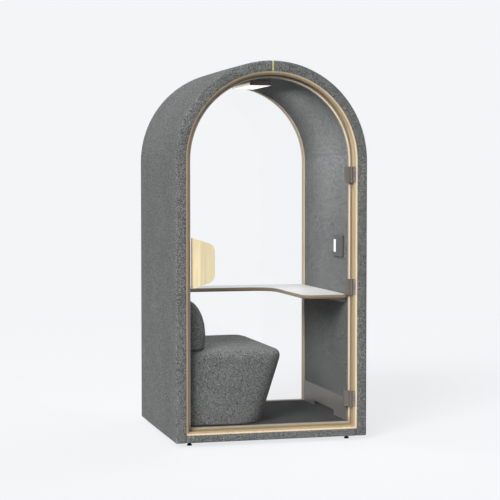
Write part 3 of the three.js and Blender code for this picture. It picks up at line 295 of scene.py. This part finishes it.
def opal(name):
    """Opal acrylic lit from behind: full white below, dimmer and warmer up the sides."""
    look = Look(name, Roughness=0.4, Emission_Strength=1.0)
    cloud = look.noise(30, 2.0)
    below = look.mix(cloud, rgb(250, 249, 246), rgb(255, 255, 252))
    lamp_low, lamp_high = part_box("lamp_diffuser")
    rise = look.level(look.axis(look.place, "Z"), lamp_low.z, lamp_high.z)
    sides = look.ramp(rise, (0.0, rgb(226, 220, 213)), (1.0, rgb(172, 164, 155)))
    downward = look.level(look.sum("ABSOLUTE", look.axis(look.facing, "Z")), 0.4, 0.7)
    glow = look.mix(downward, sides, below)
    look.colour(look.mix(1.0, glow, (0.25, 0.25, 0.25, 1), "MULTIPLY"))
    look.feed(look.shader.inputs["Emission Color"], glow)
    look.roughness(look.level(cloud, 0.3, 0.7, 0.35, 0.5))
    return look.material


def laminate(name):
    """White laminate with a fine pearl texture."""
    look = Look(name, Specular_IOR_Level=0.4)
    pearl = look.noise(700, 2.0, 0.6)
    cloud = look.noise(3, 2.0)
    tone = look.ramp(cloud, (0.3, rgb(198, 198, 198)), (0.7, rgb(207, 207, 207)))
    look.colour(tone)
    look.roughness(look.level(pearl, 0.3, 0.7, 0.35, 0.5))
    look.bump(pearl, 0.15, 0.0002)
    return look.material


def woven(name, dark, light):
    """Braided piping: two crossing threads."""
    look = Look(name, Sheen_Weight=0.2, Specular_IOR_Level=0.2)
    threads = look.noise(900, 2.0, 0.6, look.stretched(1, 0.5, 1))
    look.colour(look.ramp(threads, (0.38, dark), (0.62, light)))
    look.roughness(look.level(threads, 0.3, 0.7, 0.85, 1.0))
    look.bump(threads, 0.6, 0.0006)
    return look.material


LOOKS = {
    "shell_fabric": boucle("shell_boucle", rgb(66, 68, 67), rgb(109, 111, 110), rgb(161, 163, 161), 310, 0.0025),
    "lining_felt": boucle("lining_boucle", rgb(45, 47, 47), rgb(88, 90, 90), rgb(140, 142, 142), 260, 0.0025),
    "seat_fabric": boucle("seat_boucle", rgb(64, 66, 66), rgb(103, 105, 104), rgb(148, 150, 148), 310, 0.0025),
    "carpet_pile": boucle("carpet_loops", rgb(24, 25, 25), rgb(44, 45, 44), rgb(69, 70, 69), 260, 0.004),
    "board_core": raw_board("chip_board"),
    "birch_ply": plywood("birch_rings", "Y", 0.0187, face=(214, 197, 165), edge=(208, 188, 156)),
    "clear_glass": clear_glass("sheet_glass"),
    "taupe_metal": coated("taupe_coat", rgb(118, 112, 107), rgb(128, 122, 116), 0.15, 0.45),
    "dark_metal": coated("dark_coat", rgb(46, 48, 49), rgb(58, 60, 61), 0.2, 0.5),
    "steel": brushed("brushed_steel", rgb(150, 152, 154), rgb(196, 198, 200)),
    "pale_silicone": moulded("pale_silicone", rgb(166, 143, 113), rgb(174, 152, 124), 0.55),
    "black_rubber": moulded("black_rubber", rgb(28, 28, 29), rgb(46, 46, 46), 0.75),
    "black_plastic": moulded("black_plastic", rgb(32, 33, 34), rgb(48, 49, 50), 0.5),
    "grey_plastic": moulded("grey_plastic", rgb(54, 56, 57), rgb(62, 63, 64), 0.45),
    "white_plastic": moulded("white_plastic", rgb(250, 250, 248), rgb(242, 242, 239), 0.3),
    "white_laminate": laminate("white_laminate"),
    "opal_acrylic": opal("opal_acrylic"),
    "seam_piping": woven("seam_braid", rgb(196, 199, 112), rgb(236, 238, 160)),
    "circuit_board": moulded("light_board", rgb(236, 238, 234), rgb(214, 218, 210), 0.5),
}
FRAME_PLY = plywood("birch_frame", "Y", 0.0187, face=(224, 204, 172), edge=(202, 175, 140), lip=0.0085)
# The stop, with painted shade on its face along the sill.
STOP_PLY = plywood("birch_stop", "Y", 0.0187, face=(234, 226, 205), edge=(142, 131, 113), sill=0.5)
# The desk's birch is toned darker than the frame's: painted shade on the desk's edges and undercut.
SHADED_DESK_PLY = plywood("birch_desk_shaded", "Z", 0.022, face=(175, 152, 118), edge=(158, 139, 110))
PULL_PLY = plywood("birch_pulls", "Y", 0.018, face=(255, 237, 194), edge=(250, 222, 176))
# The right lining, with painted shade below the kick plate's air slot.
SLOT_SHADED_LINING = boucle(
    "lining_shaded_behind_slot", rgb(45, 47, 47), rgb(88, 90, 90), rgb(140, 142, 142), 260, 0.0025, shade_below=0.142,
)
KICK_COAT = coated("kick_coat", rgb(114, 111, 107), rgb(121, 117, 113), 0.1, 0.45)


# Mesh helpers

def dress(obj, look):
    """One material, and smooth shading that keeps the sharp edges."""
    obj.data.materials.clear()
    obj.data.materials.append(look)
    obj.data.shade_smooth()
    obj.data.set_sharp_from_angle(angle=math.radians(32))


def soften(obj, width, segments=2):
    """Rounds the sharp edges of a piece."""
    bevel = obj.modifiers.new("edges", "BEVEL")
    bevel.width = width
    bevel.segments = segments
    bevel.limit_method = "ANGLE"
    bevel.angle_limit = math.radians(40)
    bevel.harden_normals = True


def new_piece(name, vertices, faces):
    mesh = bpy.data.meshes.new(name)
    mesh.from_pydata([tuple(v) for v in vertices], [], faces)
    mesh.validate()
    obj = bpy.data.objects.new(name, mesh)
    bpy.context.scene.collection.objects.link(obj)
    work = bmesh.new()
    work.from_mesh(mesh)
    bmesh.ops.recalc_face_normals(work, faces=work.faces)
    work.to_mesh(mesh)
    work.free()
    return obj


def stand_for(obj, slot, body, *replaced):
    """Puts a piece on its body with its slot's finish, in place of CAD nodes."""
    dress(obj, LOOKS[slot])
    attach(obj, body)
    if replaced:
        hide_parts(*replaced)


def arc(centre, radius, start, end, steps):
    """Points on a round corner, angles in degrees."""
    angles = np.radians(np.linspace(start, end, steps))
    return [(centre[0] + radius * math.cos(a), centre[1] + radius * math.sin(a)) for a in angles]


def inward_normals(loop):
    """Unit normals of a closed section, pointing into it."""
    ahead = np.roll(loop, -1, axis=0) - np.roll(loop, 1, axis=0)
    normals = np.stack([-ahead[:, 1], ahead[:, 0]], axis=1)
    area = np.sum(loop[:, 0] * np.roll(loop[:, 1], -1) - np.roll(loop[:, 0], -1) * loop[:, 1])
    normals *= math.copysign(1.0, area)
    return normals / np.linalg.norm(normals, axis=1, keepdims=True)


def sweep(name, loop, frames, end_radius):
    """A closed section carried along frames (origin, first axis, second axis), its ends rounded over."""
    loop = np.array(loop, float)
    normals = inward_normals(loop)
    origins = np.array([f[0] for f in frames], float)
    middle = [(np.array(f[0]) + f[1] * loop[:, :1].mean() + f[2] * loop[:, 1:].mean()) for f in frames]
    steps = np.linalg.norm(np.diff(np.array(middle), axis=0), axis=1)
    run = np.concatenate([[0.0], np.cumsum(steps)])
    vertices = []
    for i, (origin, first, second) in enumerate(frames):
        to_end = min(run[i], run[-1] - run[i])
        short = max(0.0, end_radius - to_end)
        inset = end_radius - math.sqrt(max(end_radius ** 2 - short ** 2, 0.0))
        section = loop + normals * inset
        vertices.extend(origins[i] + section[:, :1] * first + section[:, 1:] * second)
    count, last = len(loop), len(frames) - 1
    faces = [
        (i * count + j, i * count + (j + 1) % count, (i + 1) * count + (j + 1) % count, (i + 1) * count + j)
        for i in range(last) for j in range(count)
    ]
    faces.append(tuple(range(count)))
    faces.append(tuple(last * count + j for j in range(count)))
    return new_piece(name, vertices, faces)


def eased(end_radius, steps=6):
    """Distances from an end at which a rounded end needs stations."""
    return [end_radius * (1 - math.cos(math.radians(90 * i / steps))) for i in range(steps + 1)]


# Upholstery of the arch, one padded cover to each side of the crown seam

def cover_section():
    """The cover's section as distance from the arch's middle line, and depth."""
    front, back = SHELL_FRONT, SHELL_BACK
    face = np.linspace(OPENING_HALF + HEM_RADIUS, OUTER_HALF - EDGE_RADIUS, 9)[1:-1]
    swell = lambda share: 0.0012 * math.sin(math.pi * share)
    loop = [(OPENING_HALF, front + COVER_THICKNESS)]
    loop += arc((OPENING_HALF + HEM_RADIUS, front + HEM_RADIUS), HEM_RADIUS, 180, 270, 6)
    loop += [(r, front - swell((i + 1) / 8)) for i, r in enumerate(face)]
    loop += arc((OUTER_HALF - EDGE_RADIUS, front + EDGE_RADIUS), EDGE_RADIUS, 270, 360, 10)
    side = np.linspace(front + EDGE_RADIUS, back - EDGE_RADIUS, 25)[1:-1]
    loop += [(OUTER_HALF + 1.5 * swell((i + 1) / 24), y) for i, y in enumerate(side)]
    loop += arc((OUTER_HALF - EDGE_RADIUS, back - EDGE_RADIUS), EDGE_RADIUS, 0, 90, 10)
    loop += [(r, back + swell((i + 1) / 8)) for i, r in enumerate(face[::-1])]
    loop += arc((OPENING_HALF + HEM_RADIUS, back - HEM_RADIUS), HEM_RADIUS, 90, 180, 6)
    loop += [(OPENING_HALF, back - COVER_THICKNESS)]
    inner = OUTER_HALF - COVER_THICKNESS
    loop += [(inner, back - COVER_THICKNESS), (inner, front + COVER_THICKNESS)]
    return loop


def cover_frames(side):
    """Frames up one leg and round to the crown seam."""
    roll = 0.005
    depth_axis = np.array([0.0, 1.0, 0.0])
    low = [SHELL_BOTTOM + d for d in eased(roll)]
    heights = low + list(np.linspace(low[-1], ARCH_CENTRE, 40))[1:]
    frames = [(np.array([0.0, 0.0, z]), np.array([side, 0.0, 0.0]), depth_axis) for z in heights]
    end = math.pi / 2 - SEAM_HALF / OUTER_HALF
    tail = [end - d / OUTER_HALF for d in eased(roll)][::-1]
    for angle in list(np.linspace(0.0, tail[0], 48))[1:] + tail[1:]:
        outward = np.array([side * math.cos(angle), 0.0, math.sin(angle)])
        frames.append((np.array([0.0, 0.0, ARCH_CENTRE]), outward, depth_axis))
    return frames


def cut_box(obj, low, high):
    """Cuts a square hole through a piece."""
    size = Vector(high) - Vector(low)
    work = bmesh.new()
    bmesh.ops.create_cube(work, size=1.0)
    bmesh.ops.scale(work, vec=size, verts=work.verts)
    bmesh.ops.translate(work, vec=(Vector(high) + Vector(low)) / 2, verts=work.verts)
    mesh = bpy.data.meshes.new("cutter")
    work.to_mesh(mesh)
    work.free()
    cutter = bpy.data.objects.new("cutter", mesh)
    bpy.context.scene.collection.objects.link(cutter)
    modifier = obj.modifiers.new("hole", "BOOLEAN")
    modifier.operation = "DIFFERENCE"
    modifier.solver = "EXACT"
    modifier.object = cutter
    bake(obj)
    bpy.data.objects.remove(cutter)


def bake(obj):
    """Applies a piece's modifiers to its own mesh."""
    graph = bpy.context.evaluated_depsgraph_get()
    shaped = bpy.data.meshes.new_from_object(obj.evaluated_get(graph))
    obj.modifiers.clear()
    old = obj.data
    obj.data = shaped
    bpy.data.meshes.remove(old)


grille_low, grille_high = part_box("roof_grille")
hole_low = (grille_low.x - 0.0003, grille_low.y - 0.0003, OUTER_HALF + ARCH_CENTRE - 0.05)
hole_high = (grille_high.x + 0.0003, grille_high.y + 0.0003, OUTER_HALF + ARCH_CENTRE + 0.05)
for hand, side in (("left", -1.0), ("right", 1.0)):
    cover = sweep(f"cover_{hand}", cover_section(), cover_frames(side), 0.005)
    cut_box(cover, hole_low, hole_high)
    stand_for(cover, "shell_fabric", "pod", f"upholstery_{hand}")


# Braided piping in the crown seam, before and behind the roof grille

CORD_RADIUS = 0.0042
CORD_DROP = 0.0025


def piping(name, path):
    """A round cord laid along points in the plane of symmetry."""
    path = np.array(path, float)
    tangents = np.gradient(path, axis=0)
    tangents /= np.linalg.norm(tangents, axis=1, keepdims=True)
    loop = arc((0.0, 0.0), CORD_RADIUS, 0, 330, 12)
    across = np.array([1.0, 0.0, 0.0])
    frames = [
        (np.array([0.0, y, z]), across, np.array([0.0, -tangent[1], tangent[0]]))
        for (y, z), tangent in zip(path, tangents)
    ]
    return sweep(name, loop, frames, 0.0015)


crown_height = ARCH_CENTRE + OUTER_HALF - CORD_DROP
hem_height = ARCH_CENTRE + OPENING_HALF + 0.001
bend = EDGE_RADIUS - CORD_DROP
front_line = SHELL_FRONT + CORD_DROP
front_bend = arc((SHELL_FRONT + EDGE_RADIUS, crown_height - bend), bend, 180, 90, 9)
front_path = [(front_line, z) for z in np.linspace(hem_height, crown_height - bend, 14)[:-1]] + front_bend
front_path += [(y, crown_height) for y in np.linspace(SHELL_FRONT + EDGE_RADIUS, hole_low[1] - 0.0005, 60)[1:]]
stand_for(piping("crown_piping_front", front_path), "seam_piping", "pod", "crown_strip_front")
back_line = SHELL_BACK - CORD_DROP
back_bend = arc((SHELL_BACK - EDGE_RADIUS, crown_height - bend), bend, 0, 90, 9)
back_path = [(back_line, z) for z in np.linspace(hem_height, crown_height - bend, 14)[:-1]] + back_bend
back_path += [(y, crown_height) for y in np.linspace(SHELL_BACK - EDGE_RADIUS, hole_high[1] + 0.0005, 60)[1:]]
stand_for(piping("crown_piping_rear", back_path), "seam_piping", "pod", "crown_strip_rear")


# Fabric-covered plinths below the front and the rear

def rolled_bar(name, node):
    """A padded bar along X in the place of a CAD node."""
    low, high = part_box(node)
    radius = 0.0045
    loop = arc((low.y + radius, low.z + radius), radius, 180, 270, 6)
    loop += arc((high.y - radius, low.z + radius), radius, 270, 360, 6)
    loop += arc((high.y - radius, high.z - radius), radius, 0, 90, 6)
    loop += arc((low.y + radius, high.z - radius), radius, 90, 180, 6)
    end_radius, end_gap = 0.006, 0.001
    ends = [end_gap + d for d in eased(end_radius)]
    along = [low.x + d for d in ends]
    along += list(np.linspace(low.x + ends[-1], high.x - ends[-1], 60))[1:-1]
    along += [high.x - d for d in ends[::-1]]
    depth_axis, up = np.array([0.0, 1.0, 0.0]), np.array([0.0, 0.0, 1.0])
    return sweep(name, loop, [(np.array([x, 0.0, 0.0]), depth_axis, up) for x in along], end_radius)


for place in ("front", "rear"):
    stand_for(rolled_bar(f"plinth_cover_{place}", f"plinth_{place}"), "shell_fabric", "pod", f"plinth_{place}")


# Inner lining: felt-faced panels with soft edges

def copy_of(node, name):
    obj = bpy.data.objects.new(name, nodes[node].data.copy())
    bpy.context.scene.collection.objects.link(obj)
    work = bmesh.new()
    work.from_mesh(obj.data)
    bmesh.ops.remove_doubles(work, verts=work.verts, dist=0.00001)
    work.to_mesh(obj.data)
    work.free()
    return obj


for hand in ("left", "right"):
    panel = copy_of(f"lining_{hand}", f"lining_panel_{hand}")
    soften(panel, 0.0018, 3)
    stand_for(panel, "lining_felt", "pod", f"lining_{hand}")
    # The right panel takes the lining with painted shade below the air slot.
    if hand == "right":
        dress(panel, SLOT_SHADED_LINING)


# Carpet with a pile that stands unevenly

def pile():
    low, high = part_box("carpet")
    columns, rows = 150, 136
    xs = np.linspace(low.x, high.x, columns)
    ys = np.linspace(low.y, high.y, rows)
    vertices = []
    for y in ys:
        for x in xs:
            edge = min(x - low.x, high.x - x, y - low.y, high.y - y)
            droop = 0.0012 if edge < 0.001 else 0.0
            tuft = 0.0008 * noise.noise(Vector((x, y, 0.0)) * 95)
            vertices.append((x, y, high.z - 0.0009 + tuft - droop))
    faces = [
        (j * columns + i, j * columns + i + 1, (j + 1) * columns + i + 1, (j + 1) * columns + i)
        for j in range(rows - 1) for i in range(columns - 1)
    ]
    rim = [i for i in range(columns)]
    rim += [j * columns + columns - 1 for j in range(1, rows)]
    rim += [(rows - 1) * columns + i for i in range(columns - 2, -1, -1)]
    rim += [j * columns for j in range(rows - 2, 0, -1)]
    base = len(vertices)
    vertices += [(vertices[i][0], vertices[i][1], low.z) for i in rim]
    count = len(rim)
    faces += [(rim[i], base + i, base + (i + 1) % count, rim[(i + 1) % count]) for i in range(count)]
    faces.append(tuple(base + i for i in range(count)))
    return new_piece("carpet_pile", vertices, faces)


stand_for(pile(), "carpet_pile", "pod", "carpet")


# Seat and back cushion: foam under cloth, filled by a cloth simulation

def neighbour_means(values, edges):
    """The mean of each point's neighbours."""
    total = np.zeros_like(values)
    np.add.at(total, edges[:, 0], values[edges[:, 1]])
    np.add.at(total, edges[:, 1], values[edges[:, 0]])
    return total / np.bincount(edges.ravel(), minlength=len(values))[:, None]


def read_points(mesh, field):
    values = np.empty(len(mesh.vertices) * 3)
    mesh.vertices.foreach_get(field, values)
    return values.reshape(-1, 3)


def stuffed(node, name, voxel, shrink, cap, held):
    """A CAD solid's skin, evened out, drawn in, blown up as cloth; it ends on the solid or fuller."""
    obj = copy_of(node, name)
    remesh = obj.modifiers.new("even", "REMESH")
    remesh.mode = "VOXEL"
    remesh.voxel_size = voxel
    bake(obj)
    mesh = obj.data
    edges = np.empty(len(mesh.edges) * 2, int)
    mesh.edges.foreach_get("vertices", edges)
    edges = edges.reshape(-1, 2)
    rest = read_points(mesh, "co")
    kept = np.array([held(point) for point in rest])
    for share in (0.5, -0.53) * 8:
        moved = rest + share * (neighbour_means(rest, edges) - rest)
        rest = np.where(kept[:, None], rest, moved)
    mesh.vertices.foreach_set("co", rest.ravel())
    mesh.update()
    normals = read_points(mesh, "normal")
    start = np.where(kept[:, None], rest, rest - normals * shrink)
    mesh.vertices.foreach_set("co", start.ravel())
    pins = obj.vertex_groups.new(name="pins")
    pins.add([int(i) for i in np.flatnonzero(kept)], 1.0, "REPLACE")
    blow_up(obj)
    grown = np.sum((read_points(obj.data, "co") - rest) * normals, axis=1, keepdims=True)
    fill = np.where(kept[:, None], 0.0, np.clip(grown, 0.0, cap))
    for _ in range(3):
        fill = np.where(kept[:, None], 0.0, 0.5 * fill + 0.5 * neighbour_means(fill, edges))
    obj.data.vertices.foreach_set("co", (rest + normals * fill).ravel())
    obj.vertex_groups.clear()
    finer = obj.modifiers.new("finer", "SUBSURF")
    finer.levels = 1
    finer.render_levels = 1
    bake(obj)
    return obj


def blow_up(obj):
    cloth = obj.modifiers.new("cloth", "CLOTH")
    settings = cloth.settings
    settings.use_pressure = True
    settings.uniform_pressure_force = 4.0
    settings.effector_weights.gravity = 0.0
    settings.vertex_group_mass = "pins"
    settings.quality = 4
    cloth.point_cache.frame_start = 1
    cloth.point_cache.frame_end = 20
    scene = bpy.context.scene
    for number in range(1, 21):
        scene.frame_set(number)
        bpy.context.view_layer.update()
    bake(obj)
    scene.frame_set(1)


seat_low, seat_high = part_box("seat_body")
hollow_low, hollow_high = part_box("seat_frame")


def seat_held(point):
    in_hollow = (
        hollow_low.x - 0.012 < point[0] < hollow_high.x + 0.012
        and hollow_low.y - 0.012 < point[1] < hollow_high.y + 0.012
        and point[2] < hollow_high.z + 0.012
    )
    return in_hollow or point[2] < seat_low.z + 0.012 or point[0] < seat_low.x + 0.012


seat = stuffed("seat_body", "seat_cover", 0.0105, 0.004, 0.005, seat_held)
stand_for(seat, "seat_fabric", "pod", "seat_body")

pad_low, pad_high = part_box("back_cushion")


def pad_held(point):
    return point[0] < pad_low.x + 0.006


back_pad = stuffed("back_cushion", "back_cushion_cover", 0.0075, 0.004, 0.003, pad_held)
stand_for(back_pad, "seat_fabric", "pod", "back_cushion")


# Countersunk screws in the hinge flanges

FLANGE_OUT = np.array([-0.604, -0.797, 0.0])
FLANGE_ACROSS = np.array([0.797, -0.604, 0.0])
FLANGE_UP = np.array([0.0, 0.0, 1.0])


def screws(name, places):
    """Flat screw heads with a cross recess, facing out of the slanted flange."""
    radius, proud, sides = 0.0032, 0.0006, 20
    angles = [2 * math.pi * k / sides for k in range(sides)]
    arms = [0.62 if k % 5 in (0, 1) else 0.2 for k in range(sides)]
    rings = [
        ([1.0] * sides, 0.0), ([1.0] * sides, 0.5 * proud), ([0.8] * sides, proud), (arms, proud), (arms, 0.0001),
    ]
    vertices, faces = [], []
    for place in places:
        base = len(vertices)
        for shares, rise in rings:
            for angle, share in zip(angles, shares):
                flat = FLANGE_ACROSS * math.cos(angle) + FLANGE_UP * math.sin(angle)
                vertices.append(np.array(place) + flat * radius * share + FLANGE_OUT * rise)
        for i in range(len(rings) - 1):
            for k in range(sides):
                low, high = base + i * sides, base + (i + 1) * sides
                after = (k + 1) % sides
                faces.append((low + k, low + after, high + after, high + k))
        faces.append(tuple(base + k for k in range(sides)))
        faces.append(tuple(base + (len(rings) - 1) * sides + k for k in range(sides)))
    return new_piece(name, vertices, faces)


for level in ("lower", "middle", "upper"):
    low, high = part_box(f"hinge_leaf_{level}")
    middle = (low.z + high.z) / 2
    places = [(0.4985, -0.5207, middle + offset) for offset in (-0.037, -0.024, 0.024, 0.037)]
    stand_for(screws(f"hinge_screws_{level}", places), "steel", "pod")


# Finishes and edges of the CAD pieces that stay

for entry in frame["record"]["subparts"]:
    node = nodes[entry["node"]]
    if not node.hide_render:
        dress(node, LOOKS[entry["material_slot"]])
OWN_LOOKS = {
    "front_frame": FRAME_PLY, "front_stop": STOP_PLY,
    "desk_core": SHADED_DESK_PLY, "floor_panel": SHADED_DESK_PLY,
    "pull_outer": PULL_PLY, "pull_inner": PULL_PLY,
    "kick_plate": KICK_COAT,
}
for name, look in OWN_LOOKS.items():
    dress(nodes[name], look)
EDGES = {
    0.0012: ("front_frame", "front_stop", "back_stop", "back_frame", "pull_outer", "pull_inner", "ceiling_housing"),
    0.0006: ("desk_core", "desk_laminate", "kick_plate", "wall_plate", "socket_insert", "light_rocker"),
    0.0005: tuple(f"hinge_{part}_{level}" for part in ("leaf", "clamp", "backing") for level in ("lower", "middle", "upper")),
}
for width, names in EDGES.items():
    for name in names:
        soften(nodes[name], width)


# Studio: floor, light and camera

BACKGROUND = rgb(243, 245, 247)
FLOOR_LIFT = 0.83
FLOOR_SHARE = 0.20


def studio_floor():
    """A pale floor that takes a soft shadow and fades into the background."""
    floor = new_piece("studio_floor", [(-30, -30, 0), (30, -30, 0), (30, 30, 0), (-30, 30, 0)], [(0, 1, 2, 3)])
    look = Look("pale_floor", Roughness=0.9, Specular_IOR_Level=0.0)
    look.colour(tuple(FLOOR_SHARE * channel for channel in BACKGROUND[:3]) + (1.0,))
    away = look.add("ShaderNodeVectorMath", {0: look.place}, "Value", operation="LENGTH")
    seen = look.sum(
        "MAXIMUM",
        look.add("ShaderNodeLightPath", {}, "Is Camera Ray"),
        look.add("ShaderNodeLightPath", {}, "Is Glossy Ray"),
    )
    lift = look.sum("MULTIPLY", seen, FLOOR_LIFT)
    near = look.add("ShaderNodeAddShader", {
        0: look.shader.outputs[0],
        1: look.add("ShaderNodeEmission", {"Color": BACKGROUND, "Strength": lift}),
    })
    far = look.add("ShaderNodeEmission", {"Color": BACKGROUND, "Strength": seen})
    blend = look.add("ShaderNodeMixShader", {0: look.level(away, 2.5, 8.0), 1: near, 2: far})
    look.feed(look.tree.nodes["Material Output"].inputs["Surface"], blend)
    floor.data.materials.append(look.material)


def studio_world(strength):
    """Even light all round; the background's own colour to the camera and in gloss and glass."""
    world = bpy.data.worlds.new("studio")
    world.use_nodes = True
    tree = world.node_tree
    tree.nodes.clear()
    path = tree.nodes.new("ShaderNodeLightPath")
    seen = path.outputs["Is Camera Ray"]
    for kind in ("Is Glossy Ray", "Is Transmission Ray"):
        either = tree.nodes.new("ShaderNodeMath")
        either.operation = "MAXIMUM"
        tree.links.new(seen, either.inputs[0])
        tree.links.new(path.outputs[kind], either.inputs[1])
        seen = either.outputs[0]
    light = tree.nodes.new("ShaderNodeBackground")
    light.inputs["Color"].default_value = (1.0, 1.0, 1.0, 1.0)
    light.inputs["Strength"].default_value = strength
    backdrop = tree.nodes.new("ShaderNodeBackground")
    backdrop.inputs["Color"].default_value = BACKGROUND
    mix = tree.nodes.new("ShaderNodeMixShader")
    tree.links.new(seen, mix.inputs[0])
    tree.links.new(light.outputs[0], mix.inputs[1])
    tree.links.new(backdrop.outputs[0], mix.inputs[2])
    output = tree.nodes.new("ShaderNodeOutputWorld")
    tree.links.new(mix.outputs[0], output.inputs["Surface"])
    bpy.context.scene.world = world


def lamp(name, kind, energy, place, aim, **settings):
    light = bpy.data.lights.new(name, kind)
    light.energy = energy
    for setting, value in settings.items():
        setattr(light, setting, value)
    obj = bpy.data.objects.new(name, light)
    obj.location = place
    obj.rotation_euler = (Vector(aim) - Vector(place)).to_track_quat("-Z", "Y").to_euler()
    obj.visible_glossy = False
    bpy.context.scene.collection.objects.link(obj)


studio_floor()
studio_world(0.28)
lamp("key", "SUN", 3.5, (-4.7, -5.4, 4.1), (0.0, 0.0, 0.0), angle=math.radians(30))
lamp("fill", "SUN", 0.6, (4.6, 4.2, 3.2), (0.0, 0.0, 0.0), angle=math.radians(60))
lamp_low, lamp_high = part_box("lamp_diffuser")
lamp_middle = (lamp_low + lamp_high) / 2
lamp(
    "ceiling_glow", "AREA", 11.5, (lamp_middle.x, lamp_middle.y, lamp_low.z - 0.004),
    (lamp_middle.x, lamp_middle.y, 0.0), shape="RECTANGLE", size=0.12, size_y=0.40, spread=math.radians(175),
)

camera = bpy.data.cameras.new("camera")
camera.sensor_width = 36.0
camera.lens = 108.68
camera_object = bpy.data.objects.new("camera", camera)
camera_object.location = (-2.3830, -8.9164, 1.5389)
camera_object.rotation_euler = (math.radians(90 - 2.681), 0.0, math.radians(-14.978))
bpy.context.scene.collection.objects.link(camera_object)
bpy.context.scene.camera = camera_object
bpy.context.scene.view_settings.view_transform = "Standard"
